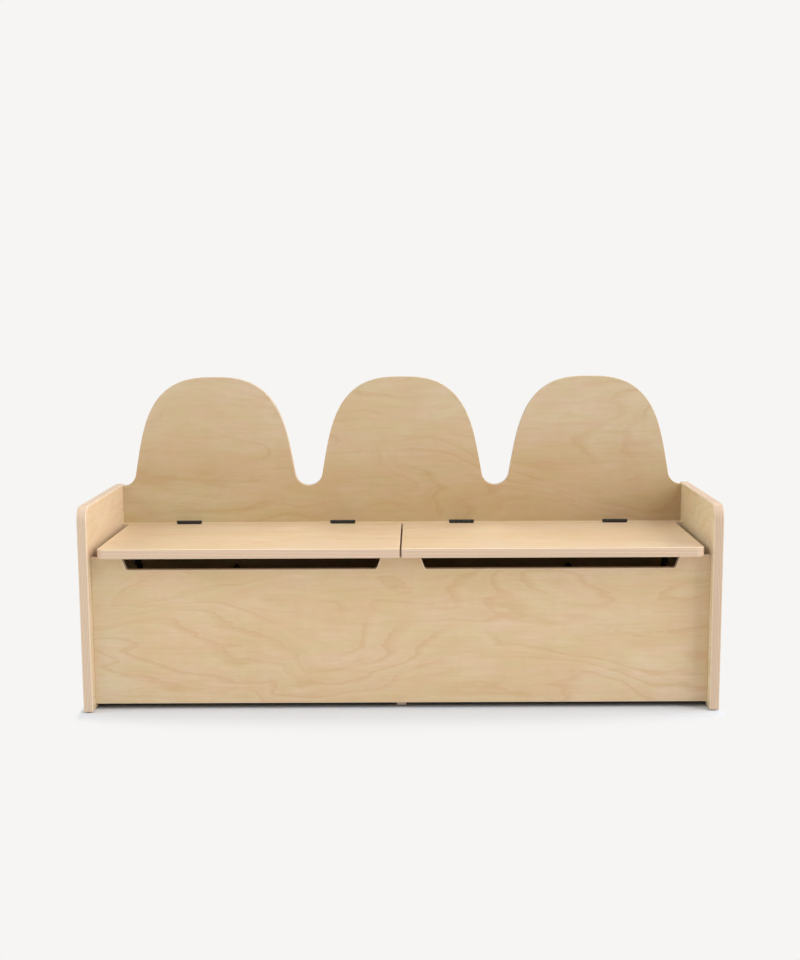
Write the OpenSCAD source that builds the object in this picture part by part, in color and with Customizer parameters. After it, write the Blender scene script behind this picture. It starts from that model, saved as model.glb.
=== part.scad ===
// Toy box bench in birch plywood: two lids as the seat, a humped backrest, two compartments.
// X runs along the bench, Y from front to back, Z up. The origin is on the floor, mid-bench.

/* [Bench] */
// Overall width over the two side panels
bench_w = 1200; // [1160:10:1300]
// Depth of the side panels, front to back
bench_d = 390; // [380:5:420]
// Height of the backrest at the top of its humps
bench_h = 613; // [590:1:650]
// Height of the side panels
side_h = 391; // [380:1:400]
// Height of the seat, at the top of the lids
seat_h = 312; // [305:1:320]
// Thickness of every plywood board
ply_t = 18; // [18]

/* [Side panels] */
// Radius of the front top corner
side_corner_r = 28; // [10:1:40]

/* [Backrest] */
// Number of humps along the backrest
hump_count = 3; // [2:1:4]
// Height of the rounded valleys between the humps
valley_h = 388.5; // [380:0.5:400]
// Radius of the rounded valleys
valley_r = 28.5; // [20:0.5:35]
// How far the sides of a hump lean outwards towards the valley, in degrees
hump_flare = 10; // [5:1:12]

/* [Front panel] */
// Set back of the front panel behind the side panels' front edges
panel_setback = 28; // [20:1:40]
// Clearance from the floor to the front panel
panel_clear = 11; // [6:1:30]
// Gap between the front panel's top edge and the lids
lid_rest_gap = 2; // [1.5:0.1:3]
// Length of a finger slot along the panel's top edge
slot_w = 487; // [200:1:500]
// How much shorter a finger slot is at its bottom, on each side
slot_slope = 8; // [4:1:20]
// Depth of a finger slot below the top edge
slot_depth = 23; // [18:1:40]
// Distance from mid-bench to the middle of a finger slot
slot_x = 281; // [270:1:290]
// Radius of a finger slot's bottom corners
slot_corner_r = 6.5; // [2:0.5:10]
// Radius of a finger slot's corners at the panel's top edge
slot_lip_r = 4; // [1:0.5:6]

/* [Lids] */
// Finger-safe gap between a lid and its side panel
lid_side_gap = 15; // [8:1:20]
// Gap between the two lids
lid_mid_gap = 3; // [2:0.5:6]
// Radius of a lid's outer front corner, seen from above
lid_corner_r = 18; // [4:1:30]
// Width of the fixed rail behind the lids
rail_d = 26; // [24:1:40]

/* [Hinges] */
// Gap between the lids and the rail, where the hinge leaves sit
hinge_gap = 3; // [3:0.2:4]
// Length of a hinge
hinge_len = 50; // [50]
// Outside diameter of a hinge knuckle
knuckle_d = 6.2; // [6:0.1:7]
// Height of the hinge pin above the top of the lids
pin_rise = 4.2; // [4.2:0.1:6]
// Thickness of a hinge leaf
leaf_t = 1.2; // [1:0.1:1.3]
// Distance from mid-bench to the outer hinges
hinge_outer_x = 441; // [420:1:460]
// Distance from mid-bench to the inner hinges
hinge_inner_x = 123; // [100:1:160]

/* [Lid stays] */
// Distance from mid-bench to the middle of a lid stay's ball end
stay_x = 525; // [510:1:530]
// Distance of the stay's lower pivot behind the hinge pins
stay_foot_back = 10; // [8:1:11]
// Distance of the stay's lower pivot below the hinge pins
stay_foot_drop = 215; // [205:1:225]
// Distance of the stay's upper pivot in front of the hinge pins
stay_head_fore = 130; // [122:1:134]
// Distance of the stay's upper pivot below the hinge pins
stay_head_drop = 62; // [58:1:66]

/* [Hidden] */
eps = 0.05;

// Colours
birch = "burlywood";
black_metal = [0.13, 0.13, 0.13];
steel = "silver";
beech = "tan";
zinc = "gainsboro";
black_rubber = [0.08, 0.08, 0.08];

// Main planes
left = -1;
right = 1;
front_y = -bench_d / 2;
back_y = bench_d / 2;
inner_x = bench_w / 2 - ply_t;
backrest_y = back_y - ply_t;
panel_y = front_y + panel_setback;
panel_back_y = panel_y + ply_t;
panel_mid_y = panel_y + ply_t / 2;
lid_under = seat_h - ply_t;
panel_top = lid_under - lid_rest_gap;
glide_t = 2;
glide_r = 10;
divider_face = ply_t / 2;
base_z = 30;

// Lids and hinges
rail_y = backrest_y - rail_d;
hinge_y = rail_y - hinge_gap / 2;
hinge_z = seat_h + pin_rise;
lid_back_y = rail_y - hinge_gap;
lid_in_x = lid_mid_gap / 2;
lid_out_x = inner_x - lid_side_gap;
lid_small_r = 2;
knuckle_r = knuckle_d / 2;
knuckle_count = 5;
knuckle_gap = 0.3;
pin_r = 1.5;
pin_fit = 0.05;
pin_head_r = 2.4;
pin_head_t = 1;
leaf_drop = 16;
leaf_top_clear = 0.5;
hinge_screw_r = 1.5;
hinge_screw_head_r = 2.9;
hinge_screw_len = 15;
hinge_screw_z = lid_under + 7;
hinge_screw_x = [-17, 0, 17];
screw_play = 0.05;
HINGE_X = [-hinge_outer_x, -hinge_inner_x, hinge_inner_x, hinge_outer_x];

// Humps
hump_pitch = 2 * inner_x / hump_count;
hump_foot_z = valley_h + valley_r * (1 - sin(hump_flare));
hump_foot_half = hump_pitch / 2 - valley_r * cos(hump_flare);
hump_rise = bench_h - hump_foot_z;
hump_spread = hump_rise * tan(hump_flare);
hump_round_x = 2.75;
hump_round_z = 3.75;
hump_steps = 36;
valley_steps = 14;

// Finger slots
slot_lean = atan2(slot_slope, slot_depth);
slot_inset = slot_corner_r * tan((90 - slot_lean) / 2);
slot_lip_x = slot_lip_r / tan((90 + slot_lean) / 2);
slot_steps = 8;

// Lid stays, in the plane across the bench
foot_y = hinge_y + stay_foot_back;
foot_z = hinge_z - stay_foot_drop;
head_y = hinge_y - stay_head_fore;
head_z = hinge_z - stay_head_drop;
stay_len = norm([foot_y - head_y, head_z - foot_z]);
stay_tilt = atan2(foot_y - head_y, head_z - foot_z);
tube_r = 9;
tube_bore_r = 7.5;
tube_start = 12;
tube_end = stay_len - 34.5;
tube_cap_t = 4;
eye_r = 8;
eye_w = 10;
stud_r = 4;
stud_fit = 0.05;
stud_head_r = 6;
stud_head_t = 2.5;
rod_r = 4;
rod_fit = 0.05;
piston_r = 7.4;
piston_h = 6;
ball_end_r = 6.5;
ball_eye_w = 9;
ball_end_len = 20;
bracket_t = 2;
bracket_gap = 0.3;
tab_x = stay_x + eye_w / 2 + 10 + bracket_gap;
bracket_w = tab_x + bracket_t - stay_x + 12;
lid_tab_x = stay_x + ball_eye_w / 2 + 2.5 + bracket_gap;
bracket_half = 20;
bracket_screw_r = 1.9;
bracket_screw_head_r = 3.6;
bracket_screw_len = 14;
bracket_screw_x = stay_x - 2;
bracket_screw_off = [-13, 13];

// Wall plates on the inside of the backrest
wall_plate_x = 348;
wall_plate_peak = 224;
wall_plate_w = 32;
wall_plate_t = 2;
wall_hole_r = 2.75;
wall_hole_z = wall_plate_peak - 20;
wall_screw_z = [wall_plate_peak - 34, wall_plate_peak - 46];
wall_plate_h = 54;

// Cam fittings: bolt depth in the outer board, cam distance into the held board
cam_r = 7.5;
cam_deep = 13;
cam_play = 0.05;
cam_in = 24;
bolt_anchor = 11;
bolt_anchor_r = 3.5;
bolt_shank_r = 2.6;
bolt_head_r = 3.4;
bolt_way_r = 4;
dowel_r = 4;
dowel_half = 15;

// A joint is [position, rotation]: x runs into the held board, the cam opens towards +z
FRONT_JOINT_Z = [60, 150, 240];
BACK_JOINT_Z = [60, 200, 340];
BASE_JOINT_Y = [-90, 110];
DIVIDER_JOINT_Z = [70, 220];
base_stagger = 30;
FRONT_JOINTS = [for (s = [left, right], z = FRONT_JOINT_Z)
    [[s * inner_x, panel_mid_y, z], s == right ? [90, 0, 180] : [-90, 0, 0]]];
BACK_JOINTS = [for (s = [left, right], z = BACK_JOINT_Z)
    [[s * inner_x, backrest_y + ply_t / 2, z], s == right ? [90, 0, 180] : [-90, 0, 0]]];
RAIL_JOINTS = [for (s = [left, right])
    [[s * inner_x, backrest_y - rail_d / 2, seat_h - ply_t / 2], s == right ? [180, 0, 180] : [180, 0, 0]]];
BASE_OUTER_JOINTS = [for (s = [left, right], y = BASE_JOINT_Y)
    [[s * inner_x, y, base_z + ply_t / 2], s == right ? [180, 0, 180] : [180, 0, 0]]];
BASE_INNER_JOINTS = [for (s = [left, right], y = BASE_JOINT_Y)
    [[s * divider_face, y - (s == right ? base_stagger : 0), base_z + ply_t / 2],
        s == right ? [180, 0, 0] : [180, 0, 180]]];
DIVIDER_FRONT_JOINTS = [for (z = DIVIDER_JOINT_Z) [[0, panel_back_y, z], [-90, 0, 90]]];
DIVIDER_BACK_JOINTS = [for (z = DIVIDER_JOINT_Z) [[0, backrest_y, z], [90, 0, -90]]];
CAM_JOINTS = concat(FRONT_JOINTS, BACK_JOINTS, RAIL_JOINTS, BASE_OUTER_JOINTS,
    BASE_INNER_JOINTS, DIVIDER_FRONT_JOINTS, DIVIDER_BACK_JOINTS);

// Dowels stand between the cam fittings, along the same boards
FRONT_DOWELS = [for (s = [left, right], z = [105, 195]) [[s * inner_x, panel_mid_y, z], [0, 0, 0]]];
BACK_DOWELS = [for (s = [left, right], z = [130, 270])
    [[s * inner_x, backrest_y + ply_t / 2, z], [0, 0, 0]]];
BASE_DOWELS = [for (s = [left, right]) [[s * inner_x, 10, base_z + ply_t / 2], [0, 0, 0]]];
DIVIDER_DOWELS = [for (y = [panel_back_y, backrest_y]) [[0, y, 145], [0, 0, 90]]];
ALL_DOWELS = concat(FRONT_DOWELS, BACK_DOWELS, BASE_DOWELS, DIVIDER_DOWELS);

// Screws through the backrest into the rail
RAIL_SCREW_X = [-480, -240, 0, 240, 480];
rail_screw_r = 2;
rail_screw_head_r = 4;
rail_screw_len = 38;
rail_screw_z = seat_h - ply_t / 2;

// Glides under the side panels and the divider
GLIDES = [for (x = [-bench_w / 2 + ply_t / 2, 0, bench_w / 2 - ply_t / 2],
    y = [panel_back_y + 15, backrest_y - 20]) [x, y]];
glide_flange_r = ply_t / 2 - 1;
glide_stem_r = 2.5;
glide_stem_h = 14;

// Bumper pads under the lids, over the front panel's top edge
bumper_r = 6;
bumper_t = lid_rest_gap - 0.4;
BUMPER_X = [20, 545];

// Rods along the three axes
module x_rod(x0, x1, y, z, r) {
    translate([x0, y, z]) rotate([0, 90, 0]) cylinder(h = x1 - x0, r = r, $fn = 48);
}
module y_rod(y0, y1, x, z, r) {
    translate([x, y0, z]) rotate([-90, 0, 0]) cylinder(h = y1 - y0, r = r, $fn = 48);
}
module z_rod(z0, z1, x, y, r) {
    translate([x, y, z0]) cylinder(h = z1 - z0, r = r, $fn = 48);
}
module placed(joint) {
    translate(joint[0]) rotate(joint[1]) children();
}
// Countersunk screw along +z, its head's flat face at z = 0 and its shank below
module flat_screw(shank_r, head_r, len) {
    rotate_extrude($fn = 48)
        polygon([[0, 0], [head_r, 0], [shank_r, shank_r - head_r], [shank_r, 2 * shank_r - len], [0, -len]]);
}

// Voids cut in the boards for the fittings
module cam_voids(joints) {
    for (joint = joints) placed(joint) {
        translate([-bolt_anchor - 1, 0, 0]) rotate([0, 90, 0])
            cylinder(h = bolt_anchor + 1, r = bolt_anchor_r + cam_play, $fn = 48);
        translate([-eps, 0, 0]) rotate([0, 90, 0]) cylinder(h = cam_in + eps, r = bolt_way_r, $fn = 48);
        translate([cam_in, 0, ply_t / 2 - cam_deep]) cylinder(h = cam_deep + eps, r = cam_r, $fn = 48);
    }
}
module dowel_voids(joints) {
    for (joint = joints) placed(joint)
        translate([-dowel_half - 1, 0, 0]) rotate([0, 90, 0])
            cylinder(h = 2 * dowel_half + 2, r = dowel_r + cam_play, $fn = 48);
}
module glide_voids() {
    for (at = GLIDES) z_rod(0, glide_t + glide_stem_h + 1, at[0], at[1], glide_stem_r + cam_play);
}
module rail_screw_voids() {
    for (x = RAIL_SCREW_X) translate([x, back_y, rail_screw_z]) rotate([-90, 0, 0])
        flat_screw(rail_screw_r + screw_play, rail_screw_head_r + screw_play, rail_screw_len + 1);
}
module hinge_screws(xs, face_y, side, play) {
    for (x = xs, dx = hinge_screw_x) translate([x + dx, face_y, hinge_screw_z]) rotate([side * 90, 0, 0])
        flat_screw(hinge_screw_r + play, hinge_screw_head_r + play, hinge_screw_len + play);
}

// Plywood boards
module side_profile() {
    translate([front_y, glide_t]) square([bench_d, side_h - side_corner_r - glide_t]);
    translate([front_y + side_corner_r, glide_t]) square([bench_d - side_corner_r, side_h - glide_t]);
    translate([front_y + side_corner_r, side_h - side_corner_r]) circle(r = side_corner_r, $fn = 96);
}
module side_panel(side) {
    color(birch) difference() {
        translate([side == right ? inner_x : -bench_w / 2, 0, 0])
            rotate([90, 0, 90]) linear_extrude(ply_t) side_profile();
        cam_voids(FRONT_JOINTS);
        cam_voids(BACK_JOINTS);
        cam_voids(RAIL_JOINTS);
        cam_voids(BASE_OUTER_JOINTS);
        dowel_voids(concat(FRONT_DOWELS, BACK_DOWELS, BASE_DOWELS));
        glide_voids();
    }
}

// Half width of a hump at the share t of its height, from its foot at 0 to its top at 1
function hump_half(t) = (hump_foot_half - hump_spread) * pow(1 - pow(t, hump_round_z), 1 / hump_round_x)
    + hump_spread * (1 - t);
// Share of the height at step i, closer together near the top, where the outline turns
function hump_share(i) = sin(90 * i / hump_steps);
function hump_points(x) = [
    for (i = [0:hump_steps]) [x - hump_half(hump_share(i)), hump_foot_z + hump_rise * hump_share(i)],
    for (i = [hump_steps - 1:-1:0]) [x + hump_half(hump_share(i)), hump_foot_z + hump_rise * hump_share(i)]
];
// Arc of a valley from angle a0 to a1, counted from straight down
function valley_arc(x, a0, a1) = [for (i = [1:valley_steps - 1])
    let (a = a0 + (a1 - a0) * i / valley_steps)
    [x + valley_r * sin(a), valley_h + valley_r - valley_r * cos(a)]];
function backrest_outline() = concat(
    [[-inner_x, panel_clear], [-inner_x, valley_h]],
    [for (n = [0:hump_count - 1]) let (x = (n - (hump_count - 1) / 2) * hump_pitch) each concat(
        valley_arc(x - hump_pitch / 2, 0, 90 - hump_flare),
        hump_points(x),
        valley_arc(x + hump_pitch / 2, hump_flare - 90, 0),
        [[x + hump_pitch / 2, valley_h]])],
    [[inner_x, panel_clear]]
);
module backrest_panel() {
    color(birch) difference() {
        translate([0, back_y, 0]) rotate([90, 0, 0]) linear_extrude(ply_t) polygon(backrest_outline());
        cam_voids(BACK_JOINTS);
        cam_voids(DIVIDER_BACK_JOINTS);
        dowel_voids(concat(BACK_DOWELS, DIVIDER_DOWELS));
        rail_screw_voids();
        back_bracket_screws(screw_play);
        wall_plate_screws(screw_play);
        for (s = [left, right]) y_rod(backrest_y - 1, back_y + 1, s * wall_plate_x, wall_hole_z, wall_hole_r);
    }
}

// Finger slot outline: wide at the top edge, with rounded corners at its top and bottom
function arc_points(x, z, r, a0, a1) = [for (i = [0:slot_steps])
    let (a = a0 + (a1 - a0) * i / slot_steps) [x + r * cos(a), z + r * sin(a)]];
function half_slot() = concat(
    [[slot_w / 2 + slot_lip_x, panel_top + 1]],
    arc_points(slot_w / 2 + slot_lip_x, panel_top - slot_lip_r, slot_lip_r, 90, 180 - slot_lean),
    arc_points(slot_w / 2 - slot_slope - slot_inset, panel_top - slot_depth + slot_corner_r, slot_corner_r,
        -slot_lean, -90)
);
module slot_outline(x) {
    side = half_slot();
    polygon(concat([for (p = side) [x + p[0], p[1]]],
        [for (i = [len(side) - 1:-1:0]) [x - side[i][0], side[i][1]]]));
}
module front_panel() {
    color(birch) difference() {
        translate([-inner_x, panel_y, panel_clear]) cube([2 * inner_x, ply_t, panel_top - panel_clear]);
        for (s = [left, right]) translate([0, panel_back_y + 1, 0]) rotate([90, 0, 0])
            linear_extrude(ply_t + 2) slot_outline(s * slot_x);
        cam_voids(FRONT_JOINTS);
        cam_voids(DIVIDER_FRONT_JOINTS);
        dowel_voids(concat(FRONT_DOWELS, [DIVIDER_DOWELS[0]]));
    }
}
module centre_divider() {
    color(birch) difference() {
        translate([-divider_face, panel_back_y, glide_t])
            cube([ply_t, backrest_y - panel_back_y, panel_top - glide_t]);
        cam_voids(BASE_INNER_JOINTS);
        cam_voids(DIVIDER_FRONT_JOINTS);
        cam_voids(DIVIDER_BACK_JOINTS);
        dowel_voids(DIVIDER_DOWELS);
        glide_voids();
    }
}
module base_board(side) {
    color(birch) difference() {
        translate([side == right ? divider_face : -inner_x, panel_back_y, base_z])
            cube([inner_x - divider_face, backrest_y - panel_back_y, ply_t]);
        cam_voids(BASE_OUTER_JOINTS);
        cam_voids(BASE_INNER_JOINTS);
        dowel_voids(BASE_DOWELS);
    }
}
module hinge_rail() {
    color(birch) difference() {
        translate([-inner_x, rail_y, lid_under]) cube([2 * inner_x, rail_d, ply_t]);
        cam_voids(RAIL_JOINTS);
        rail_screw_voids();
        hinge_screws(HINGE_X, rail_y - leaf_t, 1, screw_play);
    }
}

// Lid outline seen from above, with a large outer front corner
module lid_outline(side) {
    mirror([side == left ? 1 : 0, 0, 0]) {
        translate([lid_in_x + lid_small_r, front_y]) square([lid_out_x - lid_in_x - lid_small_r - lid_corner_r, 20]);
        translate([lid_in_x, front_y + lid_small_r])
            square([lid_out_x - lid_in_x - lid_corner_r, lid_back_y - front_y - lid_small_r]);
        translate([lid_in_x + lid_small_r, front_y + lid_corner_r])
            square([lid_out_x - lid_in_x - lid_small_r, lid_back_y - front_y - lid_corner_r]);
        translate([lid_in_x + lid_small_r, front_y + lid_small_r]) circle(r = lid_small_r, $fn = 32);
        translate([lid_out_x - lid_corner_r, front_y + lid_corner_r]) circle(r = lid_corner_r, $fn = 64);
    }
}
module lid(side) {
    color(birch) difference() {
        translate([0, 0, lid_under]) linear_extrude(ply_t) lid_outline(side);
        hinge_screws([side * hinge_outer_x, side * hinge_inner_x], lid_back_y + leaf_t, -1, screw_play);
        lid_bracket_screws(side, screw_play);
    }
}

// Butt hinge: the rail leaf has knuckles 0, 2 and 4, the lid leaf has knuckles 1 and 3
module hinge_leaf(x, plate_y, first) {
    pitch = hinge_len / knuckle_count;
    plate_top = hinge_z - knuckle_r - leaf_top_clear;
    plate_low = seat_h - leaf_drop;
    x0 = x - hinge_len / 2;
    union() {
        translate([x0, plate_y, plate_low]) cube([hinge_len, leaf_t, plate_top - plate_low]);
        for (k = [first:2:knuckle_count - 1]) {
            a = x0 + k * pitch + (k == 0 ? 0 : knuckle_gap / 2);
            b = x0 + (k + 1) * pitch - (k == knuckle_count - 1 ? 0 : knuckle_gap / 2);
            translate([a, plate_y, plate_top - 1]) cube([b - a, leaf_t, hinge_z - plate_top + 1]);
            x_rod(a, b, hinge_y, hinge_z, knuckle_r);
        }
    }
}
module hinge_rail_leaf(x) {
    color(black_metal) difference() {
        hinge_leaf(x, rail_y - leaf_t, 0);
        x_rod(x - hinge_len / 2 - 1, x + hinge_len / 2 + 1, hinge_y, hinge_z, pin_r);
        hinge_screws([x], rail_y - leaf_t, 1, screw_play);
    }
}
module hinge_lid_leaf(x) {
    color(black_metal) difference() {
        hinge_leaf(x, lid_back_y, 1);
        x_rod(x - hinge_len / 2 - 1, x + hinge_len / 2 + 1, hinge_y, hinge_z, pin_r + pin_fit);
        hinge_screws([x], lid_back_y + leaf_t, -1, screw_play);
    }
}
module hinge_pin(x) {
    color(black_metal) {
        x_rod(x - hinge_len / 2 - pin_head_t, x + hinge_len / 2 + pin_head_t, hinge_y, hinge_z, pin_r);
        for (s = [left, right]) translate([x + s * (hinge_len / 2 + pin_head_t / 2), hinge_y, hinge_z])
            rotate([0, 90, 0]) cylinder(h = pin_head_t, r = pin_head_r, center = true, $fn = 48);
    }
}
module rail_hinge_screws() {
    color(black_metal) hinge_screws(HINGE_X, rail_y - leaf_t, 1, 0);
}
module lid_hinge_screws(side) {
    color(black_metal) hinge_screws([side * hinge_outer_x, side * hinge_inner_x], lid_back_y + leaf_t, -1, 0);
}

// Lid stay: parts are drawn for the right side and mirrored for the left
module sided(side) {
    mirror([side == left ? 1 : 0, 0, 0]) children();
}
module along_stay() {
    translate([stay_x, foot_y, foot_z]) rotate([stay_tilt, 0, 0]) children();
}
module stay_back_bracket(side) {
    color(black_metal) sided(side) difference() {
        union() {
            translate([tab_x + bracket_t - bracket_w, backrest_y - bracket_t, foot_z - bracket_half])
                cube([bracket_w, bracket_t, 2 * bracket_half]);
            translate([tab_x, foot_y, foot_z - 9]) cube([bracket_t, backrest_y - foot_y, 18]);
            x_rod(tab_x, tab_x + bracket_t, foot_y, foot_z, 9);
            x_rod(stay_x - eye_w / 2 - knuckle_gap, tab_x + bracket_t / 2, foot_y, foot_z, stud_r);
            x_rod(stay_x - eye_w / 2 - knuckle_gap - stud_head_t, stay_x - eye_w / 2 - knuckle_gap,
                foot_y, foot_z, stud_head_r);
        }
        sided(side) back_bracket_screws(screw_play);
    }
}
module back_bracket_screws(play) {
    for (s = [left, right], dz = bracket_screw_off)
        translate([s * bracket_screw_x, backrest_y - bracket_t, foot_z + dz]) rotate([90, 0, 0])
            flat_screw(bracket_screw_r + play, bracket_screw_head_r + play, bracket_screw_len + play);
}
module stay_tube(side) {
    color(black_metal) sided(side) along_stay() difference() {
        union() {
            translate([0, 0, tube_start]) cylinder(h = tube_end - tube_start, r = tube_r, $fn = 64);
            translate([-eye_w / 2, 0, 0]) rotate([0, 90, 0]) cylinder(h = eye_w, r = eye_r, $fn = 64);
            translate([-eye_w / 2, -5, 0]) cube([eye_w, 10, tube_start + 1]);
        }
        translate([-eye_w / 2 - 1, 0, 0]) rotate([0, 90, 0])
            cylinder(h = eye_w + 2, r = stud_r + stud_fit, $fn = 64);
        translate([0, 0, tube_start + tube_cap_t])
            cylinder(h = tube_end - tube_start - 2 * tube_cap_t, r = tube_bore_r, $fn = 64);
        translate([0, 0, tube_end - tube_cap_t - 1]) cylinder(h = tube_cap_t + 2, r = rod_r + rod_fit, $fn = 64);
    }
}
module stay_rod(side) {
    rod_foot = tube_start + tube_cap_t + 1;
    color(steel) sided(side) along_stay() {
        translate([0, 0, rod_foot]) cylinder(h = piston_h, r = piston_r, $fn = 64);
        translate([0, 0, rod_foot]) cylinder(h = stay_len - ball_end_r - rod_foot, r = rod_r, $fn = 64);
    }
}
module stay_ball_end(side) {
    color(black_rubber) sided(side) along_stay() difference() {
        union() {
            translate([0, 0, stay_len - ball_end_len]) cylinder(h = ball_end_len, r = 5.5, $fn = 64);
            translate([-ball_eye_w / 2, 0, stay_len]) rotate([0, 90, 0])
                cylinder(h = ball_eye_w, r = ball_end_r, $fn = 64);
            translate([3, 0, stay_len]) rotate([0, 90, 0])
                cylinder(h = lid_tab_x - bracket_gap - stay_x - 3, r = stud_r, $fn = 64);
        }
        translate([0, 0, stay_len - ball_end_len - 1])
            cylinder(h = ball_end_len + 1 - ball_end_r, r = rod_r, $fn = 64);
    }
}
module stay_lid_bracket(side) {
    tab_h = lid_under - head_z;
    color(black_metal) sided(side) difference() {
        union() {
            translate([stay_x - 12, head_y - bracket_half, lid_under - bracket_t])
                cube([lid_tab_x + bracket_t - stay_x + 12, 2 * bracket_half, bracket_t]);
            translate([lid_tab_x, head_y - 7, head_z]) cube([bracket_t, 14, tab_h]);
            x_rod(lid_tab_x, lid_tab_x + bracket_t, head_y, head_z, 7);
            x_rod(lid_tab_x + bracket_t - eps, lid_tab_x + bracket_t + 1.2, head_y, head_z, 4);
        }
        sided(side) lid_bracket_screws(side, screw_play);
    }
}
module lid_bracket_screws(side, play) {
    for (dy = bracket_screw_off)
        translate([side * bracket_screw_x, head_y + dy, lid_under - bracket_t]) rotate([180, 0, 0])
            flat_screw(bracket_screw_r + play, bracket_screw_head_r + play, bracket_screw_len + play);
}

// Peaked plate on the inside of the backrest, for a screw into the wall
module wall_plate(side) {
    color(black_metal) difference() {
        translate([side * wall_plate_x, backrest_y, 0]) rotate([90, 0, 0]) linear_extrude(wall_plate_t)
            polygon([[0, wall_plate_peak],
                [wall_plate_w / 2, wall_plate_peak - wall_plate_w / 2],
                [wall_plate_w / 2, wall_plate_peak - wall_plate_h],
                [-wall_plate_w / 2, wall_plate_peak - wall_plate_h],
                [-wall_plate_w / 2, wall_plate_peak - wall_plate_w / 2]]);
        y_rod(backrest_y - wall_plate_t - 1, backrest_y + 1, side * wall_plate_x, wall_hole_z, wall_hole_r);
        wall_plate_screws(screw_play);
    }
}
module wall_plate_screws(play) {
    for (s = [left, right], z = wall_screw_z)
        translate([s * wall_plate_x, backrest_y - wall_plate_t, z]) rotate([90, 0, 0])
            flat_screw(bracket_screw_r + play, bracket_screw_head_r + play, bracket_screw_len + play);
}
module frame_bracket_screws() {
    color(black_metal) {
        back_bracket_screws(0);
        wall_plate_screws(0);
    }
}
module lid_screws(side) {
    color(black_metal) lid_bracket_screws(side, 0);
}
module lid_bumpers(side) {
    color(black_rubber) for (x = BUMPER_X)
        z_rod(lid_under - bumper_t, lid_under, side * x, panel_mid_y, bumper_r);
}

// Hidden fixings of the boards
module cam_fittings() {
    slot = 1.6;
    color(zinc) for (joint = CAM_JOINTS) placed(joint) difference() {
        translate([cam_in, 0, ply_t / 2 - cam_deep + 0.5])
            cylinder(h = cam_deep - 0.7, r = cam_r - cam_play, $fn = 48);
        translate([cam_in - cam_r - 1, 0, 0]) rotate([0, 90, 0])
            cylinder(h = cam_r + 1 + bolt_head_r, r = bolt_way_r, $fn = 48);
        for (a = [0, 90]) translate([cam_in, 0, ply_t / 2]) rotate([0, 0, a]) cube([8, slot, 5], center = true);
    }
}
module cam_bolts() {
    color(steel) for (joint = CAM_JOINTS) placed(joint) {
        translate([-bolt_anchor, 0, 0]) rotate([0, 90, 0]) cylinder(h = bolt_anchor, r = bolt_anchor_r, $fn = 48);
        rotate([0, 90, 0]) cylinder(h = cam_in - 2, r = bolt_shank_r, $fn = 48);
        translate([cam_in - 3, 0, 0]) rotate([0, 90, 0]) cylinder(h = 3, r = bolt_head_r, $fn = 48);
    }
}
module dowels() {
    color(beech) for (joint = ALL_DOWELS) placed(joint)
        translate([-dowel_half, 0, 0]) rotate([0, 90, 0]) cylinder(h = 2 * dowel_half, r = dowel_r, $fn = 48);
}
module rail_screws() {
    color(zinc) for (x = RAIL_SCREW_X) translate([x, back_y, rail_screw_z]) rotate([-90, 0, 0])
        flat_screw(rail_screw_r, rail_screw_head_r, rail_screw_len);
}
module floor_glides() {
    color(black_rubber) for (at = GLIDES) {
        z_rod(0, glide_t, at[0], at[1], glide_flange_r);
        z_rod(glide_t - eps, glide_t + glide_stem_h, at[0], at[1], glide_stem_r);
    }
}

side_panel(left);  // left_side_panel
side_panel(right);  // right_side_panel
backrest_panel();
front_panel();
centre_divider();
base_board(left);  // left_base_board
base_board(right);  // right_base_board
hinge_rail();
lid(left);  // left_lid
lid(right);  // right_lid
hinge_rail_leaf(-hinge_outer_x);  // left_outer_hinge_rail_leaf
hinge_rail_leaf(-hinge_inner_x);  // left_inner_hinge_rail_leaf
hinge_rail_leaf(hinge_inner_x);  // right_inner_hinge_rail_leaf
hinge_rail_leaf(hinge_outer_x);  // right_outer_hinge_rail_leaf
hinge_lid_leaf(-hinge_outer_x);  // left_outer_hinge_lid_leaf
hinge_lid_leaf(-hinge_inner_x);  // left_inner_hinge_lid_leaf
hinge_lid_leaf(hinge_inner_x);  // right_inner_hinge_lid_leaf
hinge_lid_leaf(hinge_outer_x);  // right_outer_hinge_lid_leaf
hinge_pin(-hinge_outer_x);  // left_outer_hinge_pin
hinge_pin(-hinge_inner_x);  // left_inner_hinge_pin
hinge_pin(hinge_inner_x);  // right_inner_hinge_pin
hinge_pin(hinge_outer_x);  // right_outer_hinge_pin
stay_back_bracket(left);  // left_stay_back_bracket
stay_back_bracket(right);  // right_stay_back_bracket
stay_tube(left);  // left_stay_tube
stay_tube(right);  // right_stay_tube
stay_rod(left);  // left_stay_rod
stay_rod(right);  // right_stay_rod
stay_ball_end(left);  // left_stay_ball_end
stay_ball_end(right);  // right_stay_ball_end
stay_lid_bracket(left);  // left_stay_lid_bracket
stay_lid_bracket(right);  // right_stay_lid_bracket
wall_plate(left);  // left_wall_plate
wall_plate(right);  // right_wall_plate
rail_hinge_screws();
lid_hinge_screws(left);  // left_lid_hinge_screws
lid_hinge_screws(right);  // right_lid_hinge_screws
frame_bracket_screws();  // back_bracket_screws
lid_screws(left);  // left_lid_bracket_screws
lid_screws(right);  // right_lid_bracket_screws
lid_bumpers(left);  // left_lid_bumpers
lid_bumpers(right);  // right_lid_bumpers
cam_fittings();
cam_bolts();
dowels();
rail_screws();
floor_glides();
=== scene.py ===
import math
from collections import namedtuple

import bmesh
import bpy
from mathutils import Matrix, Vector


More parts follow.
